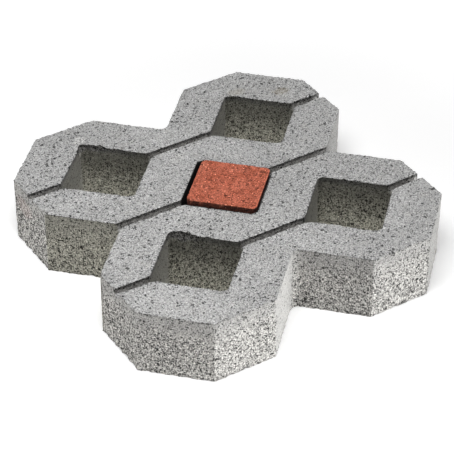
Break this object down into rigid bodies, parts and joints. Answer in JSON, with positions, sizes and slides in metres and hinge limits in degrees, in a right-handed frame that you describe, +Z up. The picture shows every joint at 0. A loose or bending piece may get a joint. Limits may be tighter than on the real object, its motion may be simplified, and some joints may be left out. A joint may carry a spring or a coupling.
{
  "type": "concrete grass grid paver",
  "caption": "Square lattice paver in grey concrete with diamond cells, V notches, dummy-joint grooves and a loose red filler block.",
  "frame": {"origin": "centre of the square footprint, on the face that lies on the ground", "axes": "+Z up, +X along the dummy-joint grooves, +Y across them"},
  "size_m": [0.4, 0.4, 0.083],
  "materials": {
    "grey_concrete": "rough, pitted, fine grained",
    "red_concrete": "rough, through-coloured"
  },
  "bodies": {
    "root": {"grass_paver": "grey_concrete", "filler_block": "red_concrete"}
  },
  "joints": []
}
